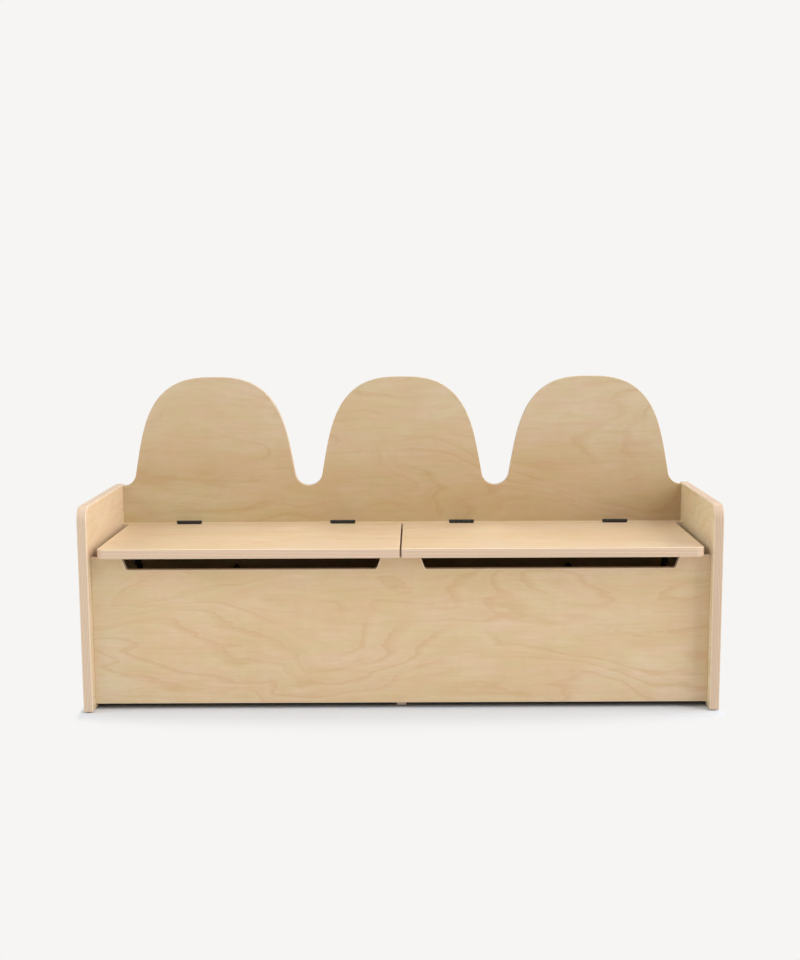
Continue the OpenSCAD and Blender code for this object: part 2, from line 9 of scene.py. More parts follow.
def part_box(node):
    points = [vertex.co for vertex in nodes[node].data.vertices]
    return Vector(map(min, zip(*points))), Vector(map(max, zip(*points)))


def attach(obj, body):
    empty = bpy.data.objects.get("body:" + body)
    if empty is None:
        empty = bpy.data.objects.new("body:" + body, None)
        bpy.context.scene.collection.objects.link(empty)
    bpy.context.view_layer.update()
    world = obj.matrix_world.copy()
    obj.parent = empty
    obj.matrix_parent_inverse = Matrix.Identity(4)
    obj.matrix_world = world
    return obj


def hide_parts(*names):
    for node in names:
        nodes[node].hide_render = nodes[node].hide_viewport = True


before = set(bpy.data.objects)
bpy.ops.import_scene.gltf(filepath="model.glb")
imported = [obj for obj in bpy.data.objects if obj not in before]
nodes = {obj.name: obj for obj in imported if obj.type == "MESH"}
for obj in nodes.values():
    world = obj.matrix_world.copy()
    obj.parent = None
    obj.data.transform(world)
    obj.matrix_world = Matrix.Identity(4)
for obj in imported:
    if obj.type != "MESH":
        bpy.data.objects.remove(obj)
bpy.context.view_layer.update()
MM = 0.001
X, Y, Z = 0, 1, 2    # axis numbers

# ---------------------------------------------------------------- sizes, in metres
PLY = 18 * MM                    # board thickness
PLIES = 13                       # veneers in a board
INNER_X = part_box("backrest_panel")[1].x
FRONT_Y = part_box("left_side_panel")[0].y
BACK_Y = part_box("left_side_panel")[1].y
SIDE_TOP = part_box("left_side_panel")[1].z
SIDE_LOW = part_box("left_side_panel")[0].z
SIDE_CORNER_R = 28 * MM
BACK_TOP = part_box("backrest_panel")[1].z
BACK_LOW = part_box("backrest_panel")[0].z
BACK_FACE_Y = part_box("backrest_panel")[0].y
VALLEY_Z = 388.5 * MM
VALLEY_R = 28.5 * MM
HUMPS = 3
HUMP_FLARE = math.radians(10)
HUMP_ROUND_X = 2.75
HUMP_ROUND_Z = 3.75
PANEL_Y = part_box("front_panel")[0].y
PANEL_BACK_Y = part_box("front_panel")[1].y
PANEL_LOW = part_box("front_panel")[0].z
PANEL_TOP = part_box("front_panel")[1].z
SLOT_X = 281 * MM
SLOT_HALF = 243.5 * MM
SLOT_SLOPE = 8 * MM
SLOT_DEPTH = 23 * MM
SLOT_CORNER_R = 6.5 * MM
SLOT_LIP_R = 4 * MM
LID_CORNER_R = 18 * MM
LID_ARC_STEPS = 10
LID_TRIM = 0.35 * MM             # off each lid's inner end, so that the middle gap reads
LID_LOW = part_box("right_lid")[0]
LID_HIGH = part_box("right_lid")[1]
LID_POST_R = 1.6 * MM            # upright corner at the inner front
LID_REAR_R = 1.2 * MM            # upright corners at the rear
CAM_R = 7.5 * MM
CAM_DEEP = 13 * MM
CAM_IN = 24 * MM
BACKREST_CAM_Z = (60 * MM, 200 * MM, 340 * MM)
PANEL_CAM_Z = (60 * MM, 150 * MM, 240 * MM)
WALL_X = 348 * MM
WALL_Z = 204 * MM
WALL_HOLE_R = 2.75 * MM
RAIL_SCREW_PITCH = 240 * MM
RAIL_SCREW_Z = 303 * MM
RAIL_SCREW_HEAD_R = 4.05 * MM
RAIL_SCREW_SHANK_R = 2.05 * MM
SHARP_ANGLE = math.radians(38)   # corners past this stay sharp in the shading
TURNED_STEPS = 40                # sides of a round cutter
EASE_SEGMENTS = 4


# ---------------------------------------------------------------- node tree helper
class Nodes:
    """Short calls for building one material's node tree."""

    def __init__(self, name):
        self.mat = bpy.data.materials.new(name)
        self.mat.use_nodes = True
        self.tree = self.mat.node_tree
        self.tree.nodes.clear()
        self.out = self.tree.nodes.new("ShaderNodeOutputMaterial")
        self.bsdf = self.tree.nodes.new("ShaderNodeBsdfPrincipled")
        self.tree.links.new(self.bsdf.outputs[0], self.out.inputs["Surface"])

    def put(self, socket, value):
        if isinstance(value, bpy.types.NodeSocket):
            self.tree.links.new(value, socket)
        else:
            socket.default_value = value

    def coords(self, output="Object"):
        return self.tree.nodes.new("ShaderNodeTexCoord").outputs[output]

    def split(self, vector):
        n = self.tree.nodes.new("ShaderNodeSeparateXYZ")
        self.put(n.inputs[0], vector)
        return n.outputs

    def join(self, x, y, z):
        n = self.tree.nodes.new("ShaderNodeCombineXYZ")
        for socket, value in zip(n.inputs, (x, y, z)):
            self.put(socket, value)
        return n.outputs[0]

    def calc(self, operation, *values, clamp=False):
        n = self.tree.nodes.new("ShaderNodeMath")
        n.operation = operation
        n.use_clamp = clamp
        for socket, value in zip(n.inputs, values):
            self.put(socket, value)
        return n.outputs[0]

    def add(self, a, b):
        return self.calc("ADD", a, b)

    def sub(self, a, b):
        return self.calc("SUBTRACT", a, b)

    def mul(self, a, b):
        return self.calc("MULTIPLY", a, b)

    def noise(self, vector, scale=1.0, detail=2.0, roughness=0.5, distortion=0.0):
        n = self.tree.nodes.new("ShaderNodeTexNoise")
        n.noise_dimensions = "3D"
        self.put(n.inputs["Vector"], vector)
        n.inputs["Scale"].default_value = scale
        n.inputs["Detail"].default_value = detail
        n.inputs["Roughness"].default_value = roughness
        n.inputs["Distortion"].default_value = distortion
        return n.outputs["Fac"]

    def smooth(self, value, low, high, to_low=0.0, to_high=1.0):
        n = self.tree.nodes.new("ShaderNodeMapRange")
        n.interpolation_type = "SMOOTHSTEP"
        self.put(n.inputs["Value"], value)
        n.inputs["From Min"].default_value = low
        n.inputs["From Max"].default_value = high
        n.inputs["To Min"].default_value = to_low
        n.inputs["To Max"].default_value = to_high
        return n.outputs["Result"]

    def mix(self, factor, a, b, blend="MIX"):
        n = self.tree.nodes.new("ShaderNodeMix")
        n.data_type = "RGBA"
        n.blend_type = blend
        n.clamp_factor = True
        self.put(n.inputs[0], factor)
        self.put(n.inputs[6], a)
        self.put(n.inputs[7], b)
        return n.outputs[2]

    def times(self, colour, factor):
        return self.mix(1.0, colour, factor, "MULTIPLY")

    def bump(self, height, strength, distance):
        n = self.tree.nodes.new("ShaderNodeBump")
        n.inputs["Strength"].default_value = strength
        n.inputs["Distance"].default_value = distance
        self.put(n.inputs["Height"], height)
        self.put(self.bsdf.inputs["Normal"], n.outputs[0])

    def shader(self, **values):
        for name, value in values.items():
            self.put(self.bsdf.inputs[name.replace("_", " ")], value)


def srgb(r, g, b):
    """Linear colour of an sRGB one given from 0 to 255."""
    def one(c):
        c /= 255
        return c / 12.92 if c <= 0.04045 else ((c + 0.055) / 1.055) ** 2.4
    return (one(r), one(g), one(b), 1.0)


# ---------------------------------------------------------------- birch plywood
WHITE = (1.0, 1.0, 1.0, 1.0)
VENEER_LIGHT = srgb(228, 207, 177)
VENEER_MID = srgb(223, 200, 161)
VENEER_WARM = srgb(214, 185, 143)
FIGURE_LINE = srgb(203, 158, 108)
ARRIS_PALE = srgb(250, 232, 206)
FLECK = srgb(158, 112, 72)
BLUSH_ROSE = (1.020, 0.985, 1.015, 1.0)
BLUSH_STRAW = (0.985, 1.010, 0.965, 1.0)
LONG_PLY = srgb(240, 220, 200)
END_PLY = srgb(220, 194, 170)
GLUE = srgb(168, 136, 108)

# how strongly each part of the figure shows, from 0 to 1
RING_SHADE = 0.09
RING_LINE = 0.31
FIBRE_SHADE = 0.16
STREAK_SHADE = 0.34
SHIMMER_SHADE = 0.14
CLOUD_SHADE = 0.55
FLECK_SHADE = 0.30
GLUE_SHADE = 0.50

# how far one step of a board's seed moves its figure along the grain, across it and in depth
SEED_ALONG, SEED_ACROSS, SEED_DEEP = 1.37, 0.83, 2.11

# Each board's veneer and edge colours are multiplied by these tones, and the tables below change them slowly
# over a board. They bring the boards to their look in the picture, so they are partly the wood's colour and
# partly painted light and shade. With all of these tables empty, every board has the same plain birch.
TONE_AND_PAINTED_LIGHT = {"backrest": (0.850, 0.862, 0.842), "front": (1.0, 0.952, 0.895), "lid": (1.0, 0.972, 0.985),
         "left_side": (0.965, 0.961, 1.032), "right_side": (1.098, 1.162, 1.197)}
EDGE_TONE_AND_PAINTED_LIGHT = {"lid": (0.97, 0.915, 0.87), "right_side": (0.88, 0.83, 0.80),
              "left_side": (0.965, 0.945, 0.93), "backrest": (0.84, 0.85, 0.85)}

# a slow change of tone along one axis of a board's face, from the place low to the place high. It is painted
# light and shade: the backrest darker at its foot and lighter at its top, the right side lighter at its
# front and darker at its rear, and the lids darker at the rear by the backrest
Drift = namedtuple("Drift", "axis low high first last")
PAINTED_LIGHT_DRIFTS = {"backrest": Drift(Z, 0.33, 0.58, first=(0.92, 0.86, 0.78), last=(1.05, 1.055, 1.12)),
          "right_side": Drift(Y, -0.15, 0.16, first=(1.03, 1.07, 1.14), last=(0.885, 0.905, 0.895)),
          "lid": Drift(Y, 0.0, 0.145, first=(1.0, 1.0, 1.0), last=(0.945, 0.965, 0.985))}

# a change of tone towards a board's left and right ends, in X, which fades out from the height low to high.
# It is
# painted light and shade: the backrest's foot lighter at its left end and darker at its right end, where the
# right side panel shades it, and the front panel's left end less orange, against the light that the side
# panel throws
Span = namedtuple("Span", "left left_calm right_calm right at_left at_right low high")
ABOVE_ALL = 9.0    # a height that no board reaches, for a change that doesn't fade out
PAINTED_LIGHT_SPANS = {"backrest": Span(-0.58, -0.05, 0.05, 0.58, at_left=(1.05, 1.16, 1.21),
                          at_right=(0.91, 0.90, 0.915), low=0.34, high=0.42),
         "front": Span(-0.58, -0.48, 0.2, 0.58, at_left=(1.0, 1.09, 1.17),
                       at_right=(0.99, 1.0, 1.03), low=ABOVE_ALL, high=ABOVE_ALL + 1.0)}

# The tone of a board's outer face, which is painted light and shade rather than the wood's colour: 1 if it
# looks along the axis and -1 if against it, and its colour. The right side's is dark because the key light
# would burn it out.
OUTSIDE_PAINTED_LIGHT = {"right_side": (1, (0.66, 0.62, 0.60)), "left_side": (-1, (0.90, 0.90, 0.86)),
            "backrest": (1, (1.06, 1.02, 1.0))}

# how much of its pale tone a rounded arris shows, from 0 to 1
ARRIS_SHARE = {"backrest": 0.05, "front": 1.0, "lid": 0.75}
ARRIS_SHARE_OTHER = 0.55


def plywood(name, seed, grain, across, thick, centre, kind="other"):
    """Birch plywood as a solid: the grain, across and thick axes are 0, 1 or 2 for X, Y or Z, and centre is
    the middle of the board's thickness. Every cut shows the plies that it goes through."""
    # a colour times the board's tone, which is partly the wood's colour and partly painted light and shade
    def toned_and_lit(colour, tones):
        tone = tones.get(kind, (1.0, 1.0, 1.0)) + (1.0,)
        return tuple(a * b for a, b in zip(colour, tone))

    veneers = (VENEER_LIGHT, VENEER_MID, VENEER_WARM, FIGURE_LINE)
    light, mid, warm, figure = (toned_and_lit(c, TONE_AND_PAINTED_LIGHT) for c in veneers)
    long_ply, end_ply, glue_line = (toned_and_lit(c, EDGE_TONE_AND_PAINTED_LIGHT) for c in (LONG_PLY, END_PLY, GLUE))
    t = Nodes(name)
    place = t.split(t.coords("Object"))
    normal = t.split(t.coords("Normal"))
    g = t.add(place[grain], seed * SEED_ALONG)
    c = t.add(place[across], seed * SEED_ACROSS)
    deep = t.mul(t.sub(place[thick], centre), 1 / MM)
    z = seed * SEED_DEEP

    def field(du, dc, offset, detail, rough, twist=0.0):
        return t.noise(t.join(t.mul(g, du), t.mul(c, dc), z + offset), 1.0, detail, rough, twist)

    # growth-ring contours of a rotary-cut veneer: level lines of a stretched, slow field
    slow = field(2.3, 6.0, 0.0, 2.0, 0.5, 0.4)
    ripple = field(16.0, 60.0, 3.0, 2.0, 0.6)
    level = t.add(t.mul(slow, 11.0), t.mul(ripple, 0.7))
    level = t.add(level, t.mul(c, 15.0))
    ring = t.calc("FRACT", level)
    line = t.mul(t.smooth(ring, 0.55, 0.90), t.smooth(ring, 0.90, 1.0, 1.0, 0.0))
    soft = t.smooth(t.calc("PINGPONG", t.add(level, 0.35), 0.5), 0.1, 0.45)
    where = field(4.0, 10.0, 7.0, 2.0, 0.6)
    line = t.mul(line, t.smooth(where, 0.38, 0.60, 0.05, 1.0))

    # broad warm and pale areas, cross-grain shimmer, fibres and flecks
    broad = field(4.5, 13.0, 11.0, 3.0, 0.6)
    cloud = field(26.0, 70.0, 13.0, 3.0, 0.6)
    shimmer = field(46.0, 16.0, 17.0, 2.0, 0.5, 0.4)
    streak = field(11.0, 150.0, 19.0, 3.0, 0.65)
    fibre = field(60.0, 1300.0, 23.0, 2.0, 0.6)
    fleck = field(120.0, 900.0, 29.0, 1.0, 0.5)

    face = t.mix(t.smooth(broad, 0.36, 0.64), light, mid)
    face = t.mix(t.smooth(cloud, 0.34, 0.66, 0.0, CLOUD_SHADE), face, mid)
    face = t.mix(t.smooth(shimmer, 0.40, 0.72, 0.0, SHIMMER_SHADE), face, warm)
    face = t.mix(t.smooth(streak, 0.42, 0.72, 0.0, STREAK_SHADE), face, warm)
    blush = field(15.0, 38.0, 37.0, 2.0, 0.6)
    patch = t.mix(t.smooth(blush, 0.34, 0.66), BLUSH_ROSE, BLUSH_STRAW)
    face = t.times(face, patch)
    face = t.mix(t.mul(soft, RING_SHADE), face, figure)
    face = t.mix(t.mul(line, RING_LINE), face, figure)
    face = t.mix(t.smooth(fibre, 0.50, 0.78, 0.0, FIBRE_SHADE), face, figure)
    # painted light and shade: a slow lighter or darker change over the board's face
    if kind in PAINTED_LIGHT_DRIFTS:
        d = PAINTED_LIGHT_DRIFTS[kind]
        painted_drift = t.mix(t.smooth(place[d.axis], d.low, d.high), d.first + (1.0,), d.last + (1.0,))
        face = t.times(face, painted_drift)
    # painted light and shade towards the board's left and right ends
    if kind in PAINTED_LIGHT_SPANS:
        d = PAINTED_LIGHT_SPANS[kind]
        painted_ends = t.mix(t.smooth(place[X], d.left, d.left_calm, 1.0, 0.0), WHITE, d.at_left + (1.0,))
        painted_ends = t.mix(t.smooth(place[X], d.right_calm, d.right), painted_ends, d.at_right + (1.0,))
        painted_ends = t.mix(t.smooth(place[Z], d.low, d.high), painted_ends, WHITE)
        face = t.times(face, painted_ends)
    face = t.mix(t.smooth(fleck, 0.74, 0.80, 0.0, FLECK_SHADE), face, FLECK)

    # plies on the edges: long grain and end grain in turn, with a thin glue line between
    ply_mm = PLY / MM / PLIES
    half_mm = PLY / MM / 2
    depth = t.calc("DIVIDE", t.add(deep, half_mm), ply_mm)
    index = t.calc("FLOOR", depth)
    within = t.calc("FRACT", depth)
    parity = t.calc("PINGPONG", index, 1.0)
    along = t.calc("ABSOLUTE", normal[grain])
    crosswise = t.calc("ABSOLUTE", normal[across])
    turned = t.calc("GREATER_THAN", along, crosswise)
    end_on = t.calc("ABSOLUTE", t.sub(parity, turned))
    wobble = t.noise(t.join(t.mul(g, 30.0), t.mul(c, 30.0), t.mul(depth, 7.0)), 1.0, 2.0, 0.6)
    grit = t.noise(t.join(t.mul(g, 400.0), t.mul(c, 400.0), t.mul(deep, 3.0)), 1.0, 2.0, 0.6)
    tint = t.noise(t.join(0.0, z, t.mul(index, 3.7)), 1.0, 0.0, 0.5)
    edge = t.mix(end_on, long_ply, end_ply)
    edge = t.mix(t.smooth(tint, 0.35, 0.65, 0.0, 0.30), edge, VENEER_WARM)
    edge = t.mix(t.smooth(wobble, 0.45, 0.75, 0.0, 0.25), edge, long_ply)
    edge = t.mix(t.mul(end_on, t.smooth(grit, 0.45, 0.75, 0.0, 0.40)), edge, glue_line)
    glue = t.sub(1.0, t.smooth(t.calc("PINGPONG", within, 0.5), 0.0, 0.09))
    edge = t.mix(t.mul(glue, GLUE_SHADE), edge, glue_line)

    outer = t.calc("LESS_THAN", t.sub(half_mm, t.calc("ABSOLUTE", deep)), ply_mm)
    facing = t.calc("ABSOLUTE", normal[thick])
    on_face = t.mul(outer, t.calc("GREATER_THAN", facing, 0.5))
    arris_share = ARRIS_SHARE.get(kind, ARRIS_SHARE_OTHER)
    face = t.mix(t.smooth(facing, 0.985, 0.90, 0.0, arris_share), face, ARRIS_PALE)
    # painted light and shade on the board's outer face alone
    if kind in OUTSIDE_PAINTED_LIGHT:
        facing_way, painted_outer_light = OUTSIDE_PAINTED_LIGHT[kind]
        outside = t.calc("GREATER_THAN", t.mul(deep, float(facing_way)), 0.0)
        face = t.times(face, t.mix(outside, WHITE, painted_outer_light + (1.0,)))
    colour = t.mix(on_face, edge, face)
    t.shader(Base_Color=colour)

    relief = t.add(t.mul(fibre, 0.6), t.mul(streak, 0.4))
    edge_relief = t.sub(t.mul(grit, 0.5), t.mul(glue, 0.5))
    on_edge = t.sub(1.0, on_face)
    height = t.add(t.mul(relief, on_face), t.mul(edge_relief, on_edge))
    t.bump(height, 0.35, 0.12 * MM)
    rough = t.add(t.smooth(streak, 0.3, 0.8, 0.40, 0.50), t.mul(on_edge, 0.14))
    t.shader(Roughness=rough, Specular_IOR_Level=0.38, Coat_Weight=0.12, Coat_Roughness=0.28)
    return t.mat


# ---------------------------------------------------------------- other materials
def painted_steel(name, colour, rough, speckle=900.0):
    """Powder coat or black oxide: fine orange peel, with rubbed lighter spots."""
    t = Nodes(name)
    p = t.coords("Object")
    peel = t.noise(p, speckle, 2.0, 0.5)
    cloud = t.noise(p, 60.0, 3.0, 0.6)
    rub = t.smooth(t.noise(p, 170.0, 4.0, 0.65), 0.60, 0.78)
    lighter = tuple(min(1.0, 0.02 + c * 2.4) for c in colour[:3]) + (1.0,)
    base = t.mix(t.smooth(cloud, 0.3, 0.7, 0.0, 0.45), colour, tuple(c * 1.5 for c in colour[:3]) + (1.0,))
    t.shader(Base_Color=t.mix(t.mul(rub, 0.5), base, lighter), Metallic=0.35,
             Roughness=t.smooth(cloud, 0.25, 0.75, rough - 0.06, rough + 0.08), Specular_IOR_Level=0.5)
    t.bump(peel, 0.25, 0.08 * MM)
    return t.mat


def bare_metal(name, colour, rough, stretch):
    """Drawn or cast metal: streaks along the part, dull clouds and fine scratches."""
    t = Nodes(name)
    p = t.split(t.coords("Object"))
    along = t.join(*(t.mul(p[i], stretch[i]) for i in range(3)))
    streak = t.noise(along, 1.0, 4.0, 0.65)
    cloud = t.noise(t.coords("Object"), 90.0, 3.0, 0.6)
    dark = tuple(c * 0.62 for c in colour[:3]) + (1.0,)
    base = t.mix(t.smooth(streak, 0.35, 0.75, 0.0, 0.55), colour, dark)
    t.shader(Base_Color=t.mix(t.smooth(cloud, 0.5, 0.8, 0.0, 0.4), base, dark), Metallic=1.0,
             Roughness=t.smooth(streak, 0.3, 0.8, rough, rough + 0.16))
    t.bump(streak, 0.2, 0.05 * MM)
    return t.mat


def moulded(name, colour, rough, grain):
    """Moulded plastic or rubber: a spark-eroded texture with slight mottling."""
    t = Nodes(name)
    p = t.coords("Object")
    texture = t.noise(p, grain, 3.0, 0.6)
    mottle = t.noise(p, 45.0, 3.0, 0.55)
    lighter = tuple(0.012 + c * 1.9 for c in colour[:3]) + (1.0,)
    t.shader(Base_Color=t.mix(t.smooth(mottle, 0.35, 0.7, 0.0, 0.5), colour, lighter),
             Roughness=t.smooth(mottle, 0.3, 0.7, rough - 0.07, rough + 0.07), Specular_IOR_Level=0.4)
    t.bump(texture, 0.4, 0.15 * MM)
    return t.mat


def dowel_wood(name):
    """Beech with short dark rays along the rod and fluted sides."""
    t = Nodes(name)
    p = t.split(t.coords("Object"))
    fibre = t.noise(t.join(t.mul(p[X], 60.0), t.mul(p[Y], 900.0), t.mul(p[Z], 900.0)), 1.0, 3.0, 0.6)
    ray = t.noise(t.join(t.mul(p[X], 400.0), t.mul(p[Y], 1600.0), t.mul(p[Z], 1600.0)), 1.0, 1.0, 0.5)
    base = t.mix(t.smooth(fibre, 0.3, 0.75), srgb(214, 174, 130), srgb(190, 144, 98))
    t.shader(Base_Color=t.mix(t.smooth(ray, 0.66, 0.76, 0.0, 0.7), base, srgb(140, 94, 58)),
             Roughness=t.smooth(fibre, 0.3, 0.7, 0.5, 0.65))
    t.bump(fibre, 0.4, 0.2 * MM)
    return t.mat


# ---------------------------------------------------------------- boards with eased edges
def finished(obj):
    """Applies the object's modifiers, marks its true corners sharp and gives it clean normals."""
    depsgraph = bpy.context.evaluated_depsgraph_get()
    mesh = bpy.data.meshes.new_from_object(obj.evaluated_get(depsgraph))
    obj.modifiers.clear()
    obj.data = mesh
    bm = bmesh.new()
    bm.from_mesh(mesh)
    bmesh.ops.remove_doubles(bm, verts=bm.verts, dist=MM / 1000)
    bm.normal_update()
    for f in bm.faces:
        f.smooth = True
    for e in bm.edges:
        e.smooth = len(e.link_faces) == 2 and e.calc_face_angle(0.0) < SHARP_ANGLE
    bm.to_mesh(mesh)
    bm.free()
    weighted = obj.modifiers.new("normals", "WEIGHTED_NORMAL")
    weighted.keep_sharp = True
    weighted.weight = 80


def board(name, outline, place, low, high, corners=(), cutters=()):
    """A board from a closed outline of (u, v, ease): ease is the rounding of the arris from that point to
    the next one, and corners maps a point's number to the rounding of the edge that stands on it."""
    widest = max([p[2] for p in outline] + [r for _, r in corners])
    bm = bmesh.new()
    weight = bm.edges.layers.float.new("bevel_weight_edge")
    rings = [[bm.verts.new(place(u, v, w)) for u, v, _ in outline] for w in (low, high)]
    bm.faces.new(rings[0])
    bm.faces.new(rings[1])
    n = len(outline)
    for i in range(n):
        j = (i + 1) % n
        bm.faces.new((rings[0][i], rings[0][j], rings[1][j], rings[1][i]))
    bmesh.ops.recalc_face_normals(bm, faces=bm.faces)
    for i in range(n):
        j = (i + 1) % n
        for ring in rings:
            bm.edges.get((ring[i], ring[j]))[weight] = outline[i][2] / widest
    for i, r in corners:
        bm.edges.get((rings[0][i], rings[1][i]))[weight] = r / widest
    mesh = bpy.data.meshes.new(name)
    bm.to_mesh(mesh)
    bm.free()
    obj = bpy.data.objects.new(name, mesh)
    bpy.context.scene.collection.objects.link(obj)
    bevel = obj.modifiers.new("ease", "BEVEL")
    bevel.limit_method = "WEIGHT"
    bevel.width = widest
    bevel.segments = EASE_SEGMENTS
    bevel.use_clamp_overlap = False
    bevel.miter_outer = "MITER_SHARP"
    for cutter in cutters:
        cut = obj.modifiers.new("cut", "BOOLEAN")
        cut.operation = "DIFFERENCE"
        cut.solver = "EXACT"
        cut.object = cutter
    bpy.context.view_layer.update()
    finished(obj)
    for cutter in cutters:
        bpy.data.objects.remove(cutter)
    return obj


def cutter(spots, profile, direction):
    """One mesh of turned cutters: profile is a list of (distance into the board, radius)."""
    bm = bmesh.new()
    side = Vector(direction).normalized()
    u = side.orthogonal().normalized()
    v = side.cross(u)
    turn = [2 * math.pi * k / TURNED_STEPS for k in range(TURNED_STEPS)]
    for spot in spots:
        rings = []
        for distance, radius in profile:
            centre = Vector(spot) + side * distance
            rings.append([bm.verts.new(centre + (u * math.cos(a) + v * math.sin(a)) * radius) for a in turn])
        bm.faces.new(rings[0])
        bm.faces.new(rings[-1])
        for one, two in zip(rings, rings[1:]):
            for k in range(TURNED_STEPS):
                m = (k + 1) % TURNED_STEPS
                bm.faces.new((one[k], one[m], two[m], two[k]))
    bmesh.ops.recalc_face_normals(bm, faces=bm.faces)
    mesh = bpy.data.meshes.new("cutter")
    bm.to_mesh(mesh)
    bm.free()
    obj = bpy.data.objects.new("cutter", mesh)
    bpy.context.scene.collection.objects.link(obj)
    return obj


def arc(cu, cv, r, a0, a1, steps, ease):
    """Outline points on a round stretch about (cu, cv), from the angle a0 to a1 in degrees."""
    return [(cu + r * math.cos(a), cv + r * math.sin(a), ease)
            for a in (math.radians(a0 + (a1 - a0) * i / steps) for i in range(steps + 1))]


def side_outline():
    """The side panel seen from its side: (y, z), with the rounded front top corner."""
    ease, hidden = 2.2 * MM, 0.8 * MM
    cy, cz = FRONT_Y + SIDE_CORNER_R, SIDE_TOP - SIDE_CORNER_R
    points = [(FRONT_Y, SIDE_LOW, hidden), (BACK_Y, SIDE_LOW, ease * 0.6), (BACK_Y, SIDE_TOP, ease)]
    points += arc(cy, cz, SIDE_CORNER_R, 90, 180, 16, ease)
    return points


def hump_half(t):
    """Half the width of a hump at the share t of its rise, from 0 at its foot to 1 at its top."""
    pitch = 2 * INNER_X / HUMPS
    foot = VALLEY_Z + VALLEY_R * (1 - math.sin(HUMP_FLARE))
    foot_half = pitch / 2 - VALLEY_R * math.cos(HUMP_FLARE)
    spread = (BACK_TOP - foot) * math.tan(HUMP_FLARE)
    top = max(0.0, 1 - t ** HUMP_ROUND_Z) ** (1 / HUMP_ROUND_X)
    return (foot_half - spread) * top + spread * (1 - t)


def backrest_outline():
    """The backrest seen from the front: (x, z), with humps joined by round valleys."""
    ease, butt, foot_ease = 1.2 * MM, 0.4 * MM, 1.0 * MM
    pitch = 2 * INNER_X / HUMPS
    foot = VALLEY_Z + VALLEY_R * (1 - math.sin(HUMP_FLARE))
    rise = BACK_TOP - foot
    steps, valley_steps = 44, 16
    points = [(-INNER_X, BACK_LOW, butt), (-INNER_X, VALLEY_Z, ease)]

    def valley(x, a0, a1):
        for i in range(1, valley_steps):
            a = a0 + (a1 - a0) * i / valley_steps
            points.append((x + VALLEY_R * math.sin(a), VALLEY_Z + VALLEY_R * (1 - math.cos(a)), ease))

    side = math.pi / 2 - HUMP_FLARE
    for n in range(HUMPS):
        x = (n - (HUMPS - 1) / 2) * pitch
        valley(x - pitch / 2, 0, side)
        for i in range(steps + 1):
            t = math.sin(math.pi / 2 * i / steps)
            points.append((x - hump_half(t), foot + rise * t, ease))
        for i in range(steps - 1, -1, -1):
            t = math.sin(math.pi / 2 * i / steps)
            points.append((x + hump_half(t), foot + rise * t, ease))
        valley(x + pitch / 2, -side, 0)
        last = n == HUMPS - 1
        points.append((x + pitch / 2, VALLEY_Z, butt if last else ease))
    points.append((INNER_X, BACK_LOW, foot_ease))
    return points


def front_outline():
    """The front panel seen from the front: (x, z), with a finger slot under each lid."""
    ease, butt, top, foot_ease = 2.6 * MM, 0.4 * MM, 0.8 * MM, 1.6 * MM
    lip_steps, corner_steps = 6, 9
    lean = math.atan2(SLOT_SLOPE, SLOT_DEPTH)
    lean_deg = math.degrees(lean)
    inset = SLOT_CORNER_R * math.tan((math.pi / 2 - lean) / 2)
    lip_x = SLOT_HALF + SLOT_LIP_R / math.tan((math.pi / 2 + lean) / 2)
    low_x = SLOT_HALF - SLOT_SLOPE - inset
    low_z = PANEL_TOP - SLOT_DEPTH + SLOT_CORNER_R
    lip_z = PANEL_TOP - SLOT_LIP_R
    points = [(-INNER_X, PANEL_LOW, foot_ease), (INNER_X, PANEL_LOW, butt), (INNER_X, PANEL_TOP, top)]
    for x in (SLOT_X, -SLOT_X):
        points += arc(x + lip_x, lip_z, SLOT_LIP_R, 90, 180 - lean_deg, lip_steps, ease)
        points += arc(x + low_x, low_z, SLOT_CORNER_R, -lean_deg, -90, corner_steps, ease)
        points += arc(x - low_x, low_z, SLOT_CORNER_R, -90, -180 + lean_deg, corner_steps, ease)
        points += arc(x - lip_x, lip_z, SLOT_LIP_R, lean_deg, 90, lip_steps, ease)
        points[-1] = points[-1][:2] + (top,)
    points.append((-INNER_X, PANEL_TOP, butt))
    return points


def lid_outline(sign):
    """A lid seen from above: (x, y), with its large outer front corner."""
    ease, rear = 2.2 * MM, 0.8 * MM
    x0, x1 = LID_LOW.x + LID_TRIM, LID_HIGH.x
    y0, y1 = LID_LOW.y, LID_HIGH.y
    points = [(x0, y0, ease)]
    points += arc(x1 - LID_CORNER_R, y0 + LID_CORNER_R, LID_CORNER_R, -90, 0, LID_ARC_STEPS, ease)
    points += [(x1, y1, rear), (x0, y1, ease * 0.6)]
    return [(sign * x, y, r) for x, y, r in points]


def replace(obj, node, body, material):
    """Puts a board in its CAD node's place, on the body that the node moves with."""
    obj.data.materials.clear()
    obj.data.materials.append(material)
    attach(obj, body)
    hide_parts(node)


lid_rear = LID_ARC_STEPS + 2    # number of the first rear point in a lid's outline
lid_posts = ((0, LID_POST_R), (lid_rear, LID_REAR_R), (lid_rear + 1, LID_REAR_R))
for sign, side in ((-1, "left"), (1, "right")):
    low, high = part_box(side + "_side_panel")
    panel = board(side + "_side_board", side_outline(), lambda u, v, w: (w, u, v), low.x, high.x)
    replace(panel, side + "_side_panel", "bench_frame",
            plywood(side + "_side_birch", 4.0 + sign, Y, Z, X, (low.x + high.x) / 2, side + "_side"))

    low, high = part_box(side + "_lid")
    lid = board(side + "_lid_board", lid_outline(sign), lambda u, v, w: (u, v, w), low.z, high.z,
                corners=lid_posts)
    replace(lid, side + "_lid", side + "_lid",
            plywood(side + "_lid_birch", 11.0 + sign * 1.5, X, Y, Z, (low.z + high.z) / 2, "lid"))

